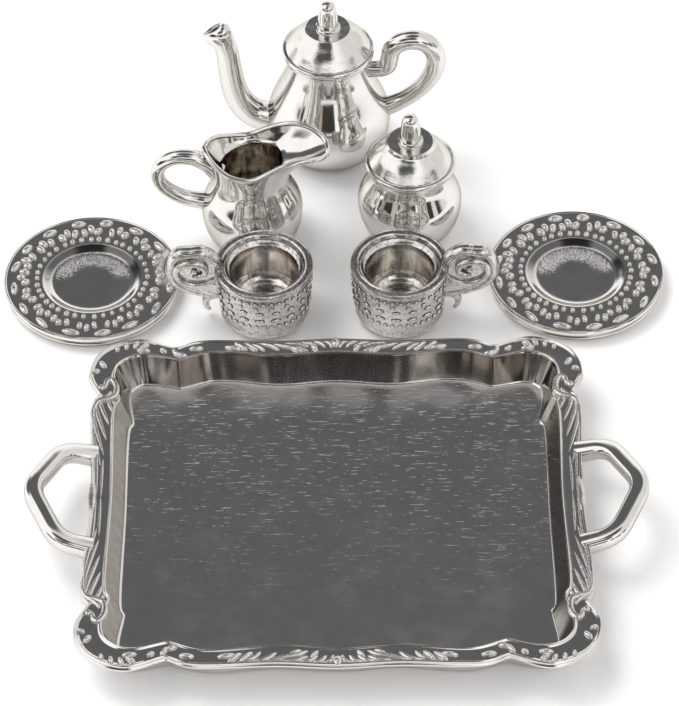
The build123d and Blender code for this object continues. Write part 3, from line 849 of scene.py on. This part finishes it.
def cup(label, side):
    body = f"cup_{label}"
    node = f"{body}_body"
    cx, cy = centre_of(node)
    h = box_mm(node)[1].z
    profile = [
        (0, 0.2), (3.5, 0.2), (3.7, 0), (4.0, 0), (4.16, 0.12), (4.36, 0.34), (4.5, 0.42), (4.55, 0.5),
        (4.52, 0.62), (4.62, 0.72), (4.72, 0.84), (4.74, 1.0), (4.7, 1.14), (4.73, 1.24), (4.78, 1.5),
        (4.93, 3.65), (5.04, 5.6),
        *measured(0, h, [(5.06, -0.95), (5.02, -0.85), (5.04, -0.76), (5.17, -0.68), (5.24, -0.5),
                         (5.25, -0.3), (5.21, -0.1), (5.13, 0), (5.06, 0), (5.0, -0.08), (4.6, -0.1),
                         (4.54, -0.03), (4.46, 0), (4.38, -0.06), (4.32, -0.2), (4.2, -0.42), (4.12, -0.44),
                         (4.04, -0.44), (3.92, -0.6), (3.8, -0.78), (3.72, -0.82), (3.66, -0.9),
                         (3.7, -1.05), (3.95, -1.6), (4.05, -2.6)]),
        (3.95, 2.6), (3.6, 1.9), (3.1, 1.5), (2.3, 1.34), (1.95, 1.45), (1.2, 1.7), (0, 1.85),
    ]
    shell = put(f"{body}_shell", lathe(profile, (cx, cy)), cup_metal(), body, [node])
    shell.data.materials.append(cup_inside_metal())
    for face in shell.data.polygons:
        reach = hypot(face.center.x - cx * MM, face.center.y - cy * MM)
        if 1.4 * MM < face.center.z < (h - 1.0) * MM and reach < 4.1 * MM:
            face.material_index = 1

    def on_wall(a, z, half_wide, half_high, depth=0.2, spin=0.0):
        r = cup_wall_r(z)
        point = (cx + r * cos(a), cy + r * sin(a), z)
        lean = Matrix.Rotation(a, 3, "Z") @ Matrix.Rotation(pi / 2, 3, "Y") @ Matrix.Rotation(spin, 3, "Z")
        places.append((point, tuple(lean.to_euler()), (half_high, half_wide, depth)))

    beads, domes = bpy.context.scene.tea_cup.beads, bpy.context.scene.tea_cup.domes
    places = []
    gap = 0.36          # half angle left clear where the handle is soldered on
    handle_at = 0.0 if side > 0 else pi
    upper_beads, upper_lozenges, upper_arches = h - 1.25, h - 1.98, h - 2.72
    lower_beads, lower_arches = 2.55, 3.5

    def clear(a):
        return abs((a - handle_at + pi) % tau - pi) > gap

    for i in range(beads):
        a = tau * (i + 0.5) / beads
        if clear(a):
            on_wall(a, upper_beads, 0.23, 0.2)
            on_wall(a, lower_beads, 0.26, 0.24, 0.22)
            if i % 2:
                on_wall(a, upper_lozenges, 0.24, 0.2, spin=pi / 4)
    for i in range(domes):
        a = tau * (i + 0.25) / domes
        if clear(a):
            on_wall(a, upper_arches, 0.38, 0.22)
            on_wall(a, lower_arches, 0.5, 0.22)
    edge = 0.075        # painted shade: dark ring that shows round each bead
    # Painted shade: flat dark rings, a little wider than each bead, stand in for the shade at its foot.
    shade_rings = [(point, euler, (high + edge, wide + edge, 0.035)) for point, euler, (high, wide, _) in places]
    bumps(f"{body}_bead_shade_rings", shade_rings, painted_bead_shade(), body)
    bumps(f"{body}_relief", places, plate("cup_relief_plate"), body)
    cup_ear(body, cx, cy, side)


def cup_ear(body, cx, cy, side):
    """Ear-shaped handle: a wide band round a sunk face with a volute on each side, and a spur."""
    low, high = box_mm(f"{body}_handle")
    reach, top = max(high.x - cx, cx - low.x), high.z
    loop = [(4.7, 7.2), (5.35, 8.35), (6.5, 9.1), (7.8, top - 0.42), (9.1, 8.75), (reach - 0.5, 7.3),
            (reach - 0.42, 6.0), (reach - 1.1, 4.75), (8.2, 4.0), (6.6, 3.35), (4.6, 2.95)]
    path = through([(x, 0, z) for x, z in loop])
    last = len(path) - 1
    band = sweep(path, [0.5 + 0.1 * sin(pi * i / last) for i in range(last + 1)], 24, 1.45)
    web = skin([[Vector((x, y, z)) for x, z in through(loop, 4)] for y in (-0.55, 0.55)])
    shapes = [band, web]
    eye_x, eye_z, turns = 7.35, 6.75, 40
    for face in (-1, 1):
        curl = []
        for i in range(turns + 1):
            t = i / turns
            a = radians(-165 + 445 * t)
            r = 1.95 * (1 - t) ** 0.75 + 0.38
            curl.append((eye_x + r * 1.12 * cos(a), face * (0.6 + 0.3 * t), eye_z + r * 0.92 * sin(a)))
        sizes = [0.14 + 0.3 * sin(pi * min(1, 0.1 + 0.8 * i / turns)) for i in range(turns + 1)]
        shapes.append(sweep(curl, sizes, 12))
        verts, faces = lathe([(0.0, -0.1), (0.28, 0.0), (0.36, 0.16), (0.24, 0.34), (0.0, 0.4)], (0, 0), 16)
        shapes.append(([(eye_x + x, face * (0.55 + z), eye_z + y) for x, y, z in verts], faces))
        foot = through([(5.0, face * 0.75, 4.9), (5.9, face * 0.75, 5.0), (7.0, face * 0.8, 4.75),
                        (8.3, face * 0.75, 5.0), (9.2, face * 0.7, 5.9)], 5)
        shapes.append(tapered(foot, 0.42, ACROSS))
    spur = through([(5.0, 0, 3.1), (5.9, 0, 2.6), (6.25, 0, 1.9), (6.2, 0, 1.1), (5.9, 0, 0.55)], 5)
    shapes.append(sweep(spur, [0.62 - 0.42 * i / (len(spur) - 1) for i in range(len(spur))], 16))
    put(f"{body}_ear", shifted(flipped(joined(*shapes), side, 1), cx, cy), cup_metal(), body,
        [f"{body}_handle"])


# ---- pots and lids

def lid(name, seat_node, body, lip_r, seat_z):
    """Domed lid on a double ring, with a sunk flat on top, and a knob."""
    centre = centre_of(seat_node)
    flange, flat_z = lip_r + 0.17, seat_z + bpy.context.scene.tea_pots.lid_rise / MM
    dome = measured(flange - 0.42, seat_z,
                    [(0, 0.72), (-0.3, 1.15), (-0.72, 1.75), (-1.2, 2.3), (-1.72, 2.8)])
    profile = [
        (0, seat_z - 0.9),
        *measured(lip_r, seat_z, [(-1.6, -0.9), (-1.45, -0.8), (-1.42, -0.05), (-0.2, 0)]),
        *measured(flange, seat_z, [(-0.12, 0.02), (-0.02, 0.1), (0.03, 0.24), (0.02, 0.4), (-0.04, 0.54),
                                   (-0.14, 0.63), (-0.26, 0.65), (-0.34, 0.6), (-0.39, 0.62)]),
        *through([*dome, (2.5, flat_z - 0.03)], 5),
        (2.45, flat_z), (2.38, flat_z), (0.8, flat_z - 0.03), (0, flat_z - 0.03),
    ]
    put(f"{name}_dome", lathe(profile, centre), plate("polished_lid_plate"), body, [seat_node])
    knob = measured(0, flat_z - 0.03, [
        (0, -0.2), (1.36, -0.2), (1.42, 0), (1.42, 0.12), (1.35, 0.25), (1.2, 0.32), (1.14, 0.42),
        (1.15, 0.7), (1.12, 1.2), (1.05, 1.9), (0.97, 2.5), (0.9, 2.85), (0.8, 3.15), (0.62, 3.4),
        (0.34, 3.53), (0, 3.57)])
    put(f"{name}_knob", lathe(knob, centre), pot_metal(), body, [f"{seat_node}_finial"])


def pot(name, node, body, outline, lip_r, height, neck_r):
    """Hollow pot with a rolled lip. The outline runs from the floor's edge up to the neck."""
    wall = bpy.context.scene.tea_pots.wall / MM
    foot_r = outline[0][0]
    profile = [
        (0, 0.15), (foot_r - 0.6, 0.15), (foot_r - 0.35, 0), *outline,
        *measured(neck_r, height, [(0.02, -0.66), (0.12, -0.54)]),
        *measured(lip_r, height, [(-0.12, -0.42), (0, -0.28), (0, -0.12), (-0.1, -0.02), (-0.3, 0)]),
        *measured(neck_r, height, [(-0.6, 0), (-0.7, -0.1)]),
        *[(max(r - wall, 0.2), z) for r, z in reversed(outline) if z > 1.3],
        (foot_r - 0.9, 1.0), (0, 0.9),
    ]
    put(name, lathe(profile, centre_of(node)), pot_metal(), body, [node])


# ---- teapot

# Stations of the spout's neck: along, height and radius.
SPOUT = [(-5.0, 3.8, 1.75), (-6.9, 3.9, 1.72), (-8.6, 4.7, 1.62), (-9.9, 6.5, 1.52), (-10.55, 8.8, 1.4),
         (-10.85, 11.2, 1.32), (-11.05, 13.2, 1.27), (-11.3, 14.4, 1.24)]
# The beak, a hood that closes down to a narrow mouth: along, height, half length, half width and
# how far it is drawn out to a point.
BEAK = [(-11.6, 15.2, 1.42, 1.26, 0.15), (-11.95, 15.75, 1.62, 1.26, 0.4), (-12.25, 16.15, 1.66, 1.16, 0.65),
        (-12.5, 16.42, 1.5, 0.95, 0.85), (-12.62, 16.52, 1.25, 0.7, 0.95), (-12.64, 16.48, 1.08, 0.5, 0.95),
        (-12.5, 16.3, 0.95, 0.4, 0.9), (-12.1, 15.6, 0.6, 0.4, 0.3)]
TEAPOT_HANDLE = [(3.9, 10.9), (5.5, 10.8), (6.5, 11.2), (6.8, 12.4), (7.05, 13.6), (8.1, 14.6), (9.7, 14.85),
                 (11.1, 14.1), (11.85, 12.4), (11.6, 10.3), (10.4, 8.2), (8.6, 6.5), (6.9, 5.5), (5.6, 5.1)]


def teapot():
    centre = centre_of("teapot_body")
    height = box_mm("teapot_body")[1].z
    outline = pot_curve(4.2, 6.87, 4.0, 4.4, height - 0.8, 16)
    pot("teapot_bowl", "teapot_body", "teapot", outline, 4.9, height, 4.4)
    angles = around(32)
    curve = through(SPOUT)
    rings = []
    for i, (x, z, r) in enumerate(curve):
        ahead, behind = curve[min(i + 1, len(curve) - 1)], curve[max(i - 1, 0)]
        along = Vector((ahead[0] - behind[0], 0, ahead[1] - behind[1])).normalized()
        over = Vector((along.z, 0, -along.x))
        rings.append([Vector((x, 0, z)) + r * (over * cos(a) + ACROSS * sin(a)) for a in angles])
    slope = Vector((0.85, 0, 0.58)).normalized()
    for x, z, reach, half, drawn in BEAK:
        narrow = [1 - 0.55 * drawn * ((1 - cos(a)) / 2) ** 2 for a in angles]
        rings.append([Vector((x, 0, z)) + slope * reach * cos(a) + ACROSS * half * sin(a) * share
                      for a, share in zip(angles, narrow)])
    put("teapot_swan_spout", shifted(skin(rings), *centre), pot_metal(), "teapot",
        ["teapot_spout"])
    path = through([(x, 0, z) for x, z in TEAPOT_HANDLE])
    shares = [i / (len(path) - 1) for i in range(len(path))]
    sizes = [0.92 + 0.2 * sin(pi * t) ** 0.8 + 0.28 * max(0, t - 0.86) / 0.14 for t in shares]
    put("teapot_loop_handle", shifted(sweep(path, sizes, 32, 0.95), *centre), pot_metal(), "teapot",
        ["teapot_handle"])
    lid("teapot_lid", "teapot_lid", "teapot_lid", 4.9, height)


# ---- sugar bowl

def sugar_bowl():
    height = box_mm("sugar_bowl")[1].z
    outline = pot_curve(3.9, 5.65, 4.0, 4.2, height - 0.7, 16)
    pot("sugar_bowl_pot", "sugar_bowl", "sugar_bowl", outline, 4.7, height, 4.2)
    lid("sugar_lid", "sugar_lid", "sugar_lid", 4.7, height)


# ---- creamer

# Half of the creamer's rim, seen from above: along, across and height, from the handle to the lip.
CREAMER_RIM = [(-5.15, 0.0, 12.35), (-4.7, 1.3, 12.25), (-3.75, 2.5, 11.75), (-2.2, 3.5, 11.1),
               (0.0, 3.97, 10.95), (2.0, 3.85, 11.9), (3.6, 3.56, 12.65), (5.2, 3.2, 12.95),
               (6.5, 2.75, 12.85), (7.7, 1.9, 12.45), (8.3, 1.0, 12.2), (8.45, 0.0, 12.1)]
# Rolled edge of that rim: how far outwards, and how far up.
CREAMER_EDGE = [(-0.04, -0.22), (0.04, -0.1), (0.05, 0.03), (-0.04, 0.13), (-0.18, 0.17), (-0.32, 0.12),
                (-0.42, 0.0)]
# Inside of the body, from under the throat down to the floor: radius and height.
CREAMER_INSIDE = [(3.4, 8.8), (3.7, 7.6), (4.4, 5.8), (4.75, 4.2), (4.4, 2.4), (3.2, 1.1), (1.0, 0.9)]
CREAMER_HANDLE = [(-3.6, 0, 9.0), (-4.9, 0, 10.3), (-6.5, 0, 11.05), (-8.3, 0, 11.0), (-9.75, 0, 9.9),
                  (-10.1, 0, 8.3), (-9.35, 0, 6.7), (-7.6, 0, 5.35), (-6.0, 0, 4.85), (-4.6, 0, 4.6)]


def creamer_rim_at(angle, curve):
    """Point of the rim in a direction from the axis."""
    want = abs((angle + pi) % tau - pi)
    pairs = [(abs(atan2(p.y, p.x)), p) for p in curve]
    for (a0, p0), (a1, p1) in zip(pairs, pairs[1:]):
        if a1 <= want <= a0:
            p = p0.lerp(p1, (a0 - want) / (a0 - a1) if a0 > a1 else 0)
            break
    else:
        p = curve[-1] if want < 0.5 else curve[0]
    side = -1 if (angle + pi) % tau - pi < 0 else 1
    return Vector((p.x, p.y * side, p.z))


def creamer():
    handle_reach = 10.95
    centre = (box_mm("creamer_handle")[0].x + handle_reach, centre_of("creamer_body")[1])
    angles = around(144)
    curve = through(CREAMER_RIM, 10)
    rim = [creamer_rim_at(a, curve) for a in angles]
    neck_r, neck_z, neck_rings = 4.1, 8.8, 9

    def circle(r, z):
        return [Vector((r * cos(a), r * sin(a), z)) for a in angles]

    def toward(share, rise, out=0.0, lift=0.0):
        """Ring part of the way from the neck to the rim. out and lift move it off that line."""
        ring = []
        for a, foot, top in zip(angles, circle(neck_r, neck_z), rim):
            point = foot.lerp(top, share)
            point.z = foot.z + (top.z - foot.z) * rise
            ring.append(point + Vector((cos(a), sin(a), 0)) * out + UP * lift)
        return ring

    rings = [circle(3.3, 0.15), circle(3.55, 0)]
    rings += [circle(r, z) for r, z in pot_curve(3.9, 5.5, 4.0, neck_r, neck_z, 14)]
    rings += [toward((i / neck_rings) ** 1.7, (i / neck_rings) ** 0.95) for i in range(1, neck_rings)]
    rings += [toward(1, 1, out, lift) for out, lift in CREAMER_EDGE]
    throat = []
    for a in angles:
        square_off = max(0.0, cos(a)) ** 6
        throat.append(Vector((0.35 + 3.45 * cos(a) - 0.35 * square_off, 3.05 * sin(a), 10.35 + 0.3 * cos(a))))
    for share, sag in ((0.3, 0.16), (0.55, 0.2), (0.8, 0.12), (0.95, 0.0), (1.0, 0.0)):
        rings.append([p.lerp(q, share) - UP * sag for p, q in zip(toward(1, 1, *CREAMER_EDGE[-1]), throat)])
    throat_ring = len(rings)
    rings.append([p - UP * 0.25 for p in throat])
    rings += [circle(r, z) for r, z in CREAMER_INSIDE]
    bead = closed_tube(toward(1, 1, -0.16, -0.02), 0.3, 14)
    jug = put("creamer_jug", shifted(joined(skin(rings), bead), *centre), pot_metal(), "creamer",
              ["creamer_body"])
    jug.data.materials.append(inside_metal())
    for face in jug.data.polygons[throat_ring * len(angles):(len(rings) - 1) * len(angles)]:
        face.material_index = 1
    path = through(CREAMER_HANDLE)
    shares = [i / (len(path) - 1) for i in range(len(path))]
    sizes = [0.86 + 0.1 * cos(tau * t) + 0.18 * max(0, abs(2 * t - 1) - 0.8) / 0.2 for t in shares]
    put("creamer_loop_handle", shifted(sweep(path, sizes, 32), *centre), pot_metal(), "creamer",
        ["creamer_handle"])


# ---- stage

TENT_SIDE = (0.70, 0.69, 0.68)      # tent to the right, turned from the light
BACK_GAP = (0.105, 0.105, 0.109)    # dark openings of the tent, high behind the set
FRONT_GAP = (0.04, 0.037, 0.032)    # dark room low in front of it
CAMERA_DARK = (0.085, 0.083, 0.08)  # camera and its stand
# Round dark things, seen from the set: direction, and the angles where dark ends and white begins.
BACK_GAPS = [((-0.06, 0.60, 0.80), 17, 27), ((0.0, -0.2, 0.98), 15, 23), ((-0.58, 0.62, 0.53), 13, 23)]
CAMERA_GAPS = [((-0.02, -0.70, 0.71), 10, 17), ((-0.34, -0.68, 0.65), 9, 19)]
# Light things in that room, seen from the set: left and right bearing in degrees, and colour.
FRONT_STRIPS = [
    (-42, -29, (0.52, 0.46, 0.41)),
    (-24, -13, (0.42, 0.35, 0.30)),
    (12, 20, (1.0, 0.98, 0.96)),
    (28, 38, (0.50, 0.44, 0.41)),
    (50, 60, (0.70, 0.66, 0.64)),
]


def world_light():
    """White tent with dark gaps: high behind the set, low in front of it, and round the camera."""
    world = bpy.data.worlds.new("studio_tent")
    bpy.context.scene.world = world
    world.use_nodes = True
    tree = world.node_tree
    tree.nodes.clear()
    look = add(tree, "ShaderNodeTexCoord").outputs["Generated"]
    x, y, z = add(tree, "ShaderNodeSeparateXYZ", {0: look}).outputs

    def lobe(direction, inner, outer):
        """1 inside a cone about a direction, falling to 0 at its outer angle."""
        dot = vectors(tree, "DOT_PRODUCT", look, Vector(direction).normalized())["Value"]
        return soft(tree, dot, cos(radians(outer)), cos(radians(inner)))

    def band(value, start, full, end_full, end):
        """1 between two limits, with soft ends."""
        return product(tree, soft(tree, value, start, full), soft(tree, value, end, end_full))

    bearing = maths(tree, "DEGREES", maths(tree, "ARCTAN2", x, maths(tree, "MULTIPLY", y, -1.0)))
    light = mixed(tree, (*bpy.context.scene.tea_stage.tent, 1), TENT_SIDE, band(bearing, 30, 60, 140, 170))
    for gap in BACK_GAPS:
        light = mixed(tree, light, BACK_GAP, lobe(*gap))
    low = band(z, -0.35, -0.15, 0.28, 0.38)
    light = mixed(tree, light, FRONT_GAP, product(tree, band(bearing, -80, -72, 66, 76), low))
    for start, end, colour in FRONT_STRIPS:
        strip = band(bearing, start - 1, start + 1, end - 1, end + 1)
        light = mixed(tree, light, colour, product(tree, strip, low))
    for gap in CAMERA_GAPS:
        light = mixed(tree, light, CAMERA_DARK, lobe(*gap))
    ray = add(tree, "ShaderNodeLightPath").outputs
    lit = add(tree, "ShaderNodeBackground",
              {"Color": light, "Strength": ramp(tree, ray["Is Diffuse Ray"], 0.0, 1.0, 1.18, 1.5)})
    seen = add(tree, "ShaderNodeBackground", {"Color": (1.0, 1.0, 1.0, 1)})
    choose = add(tree, "ShaderNodeMixShader",
                 {0: ray["Is Camera Ray"], 1: lit.outputs[0], 2: seen.outputs[0]})
    add(tree, "ShaderNodeOutputWorld", {"Surface": choose.outputs[0]})


def floor():
    side = 3.0
    mesh = bpy.data.meshes.new("floor")
    mesh.from_pydata([(-side, -side, 0), (side, -side, 0), (side, side, 0), (-side, side, 0)], [],
                     [(0, 1, 2, 3)])
    sheet = placed("floor", mesh)
    material, _, shader = new_material("pale_table")
    shader.inputs["Base Color"].default_value = (*bpy.context.scene.tea_stage.table, 1)
    shader.inputs["Roughness"].default_value = 0.6
    shader.inputs["Specular IOR Level"].default_value = 0.2
    mesh.materials.append(material)


def camera():
    """Long lens, looking down at the set from the front."""
    lens, pitch, roll, distance = 178.47, radians(45.54), radians(-0.458), 0.37084
    target = Vector((0.397, 23.89, 0)) * MM
    forward = Vector((0, cos(pitch), -sin(pitch)))
    level, upright = Vector((1, 0, 0)), Vector((0, sin(pitch), cos(pitch)))
    right = level * cos(roll) + upright * sin(roll)
    up = upright * cos(roll) - level * sin(roll)
    data = bpy.data.cameras.new("camera")
    data.lens = lens
    data.sensor_width = 36.0
    data.clip_start, data.clip_end = 0.01, 20.0
    eye = placed("camera", data)
    place = target - forward * distance
    eye.matrix_world = Matrix((
        (right.x, up.x, -forward.x, place.x),
        (right.y, up.y, -forward.y, place.y),
        (right.z, up.z, -forward.z, place.z),
        (0, 0, 0, 1)))
    bpy.context.scene.camera = eye


def key_light():
    """Soft lamp high on the back left, seen by the table but not by the metal."""
    place, aim = Vector((-0.35, 0.35, 0.55)), Vector((0, 0.02, 0))
    data = bpy.data.lights.new("key_light", "AREA")
    data.shape = "DISK"
    data.size = 0.5
    data.energy = bpy.context.scene.tea_stage.lamp_power
    lamp = placed("key_light", data)
    lamp.location = place
    lamp.rotation_euler = (aim - place).to_track_quat("-Z", "Y").to_euler()
    lamp.visible_glossy = False


# ---- operators and panel

class TEA_OT_tray(bpy.types.Operator):
    """Make the tray with its rim relief and its two handles"""
    bl_idname = "tea.tray"
    bl_label = "Tray"

    def execute(self, context):
        tray_dish()
        tray_relief()
        tray_handles()
        return {"FINISHED"}


class TEA_OT_saucers(bpy.types.Operator):
    """Make the two saucers"""
    bl_idname = "tea.saucers"
    bl_label = "Saucers"

    def execute(self, context):
        saucer("left")
        saucer("right")
        return {"FINISHED"}


class TEA_OT_cups(bpy.types.Operator):
    """Make the two cups with their handles"""
    bl_idname = "tea.cups"
    bl_label = "Cups"

    def execute(self, context):
        cup("left", -1)
        cup("right", 1)
        return {"FINISHED"}


class TEA_OT_teapot(bpy.types.Operator):
    """Make the teapot with its spout, handle and lid"""
    bl_idname = "tea.teapot"
    bl_label = "Teapot"

    def execute(self, context):
        teapot()
        return {"FINISHED"}


class TEA_OT_sugar_bowl(bpy.types.Operator):
    """Make the sugar bowl and its lid"""
    bl_idname = "tea.sugar_bowl"
    bl_label = "Sugar bowl"

    def execute(self, context):
        sugar_bowl()
        return {"FINISHED"}


class TEA_OT_creamer(bpy.types.Operator):
    """Make the creamer and its handle"""
    bl_idname = "tea.creamer"
    bl_label = "Creamer"

    def execute(self, context):
        creamer()
        return {"FINISHED"}


class TEA_OT_stage(bpy.types.Operator):
    """Set up the table, the light tent, the lamp and the camera"""
    bl_idname = "tea.stage"
    bl_label = "Stage"

    def execute(self, context):
        context.scene.view_settings.view_transform = "Standard"
        world_light()
        floor()
        camera()
        key_light()
        return {"FINISHED"}


SETTINGS = {
    "tea_finish": FinishSettings,
    "tea_tray": TraySettings,
    "tea_saucer": SaucerSettings,
    "tea_cup": CupSettings,
    "tea_pots": PotSettings,
    "tea_stage": StageSettings,
}
OPERATORS = [TEA_OT_tray, TEA_OT_saucers, TEA_OT_cups, TEA_OT_teapot, TEA_OT_sugar_bowl, TEA_OT_creamer,
             TEA_OT_stage]


class TEA_PT_service(bpy.types.Panel):
    """Settings and steps of the tea service"""
    bl_idname = "TEA_PT_service"
    bl_label = "Tea service"
    bl_space_type = "VIEW_3D"
    bl_region_type = "UI"
    bl_category = "Tea service"

    def draw(self, context):
        for pointer, group in SETTINGS.items():
            box = self.layout.box()
            box.label(text=group.__doc__)
            for key in group.__annotations__:
                box.prop(getattr(context.scene, pointer), key)
        for operator in OPERATORS:
            self.layout.operator(operator.bl_idname)


def register():
    for group in SETTINGS.values():
        bpy.utils.register_class(group)
    for operator in OPERATORS:
        bpy.utils.register_class(operator)
    bpy.utils.register_class(TEA_PT_service)
    for pointer, group in SETTINGS.items():
        setattr(bpy.types.Scene, pointer, PointerProperty(type=group))


def unregister():
    for pointer in SETTINGS:
        delattr(bpy.types.Scene, pointer)
    bpy.utils.unregister_class(TEA_PT_service)
    for owner in reversed([*SETTINGS.values(), *OPERATORS]):
        bpy.utils.unregister_class(owner)


def main():
    register()
    bpy.ops.tea.tray()
    bpy.ops.tea.saucers()
    bpy.ops.tea.cups()
    bpy.ops.tea.teapot()
    bpy.ops.tea.sugar_bowl()
    bpy.ops.tea.creamer()
    bpy.ops.tea.stage()


if __name__ == "__main__":
    main()
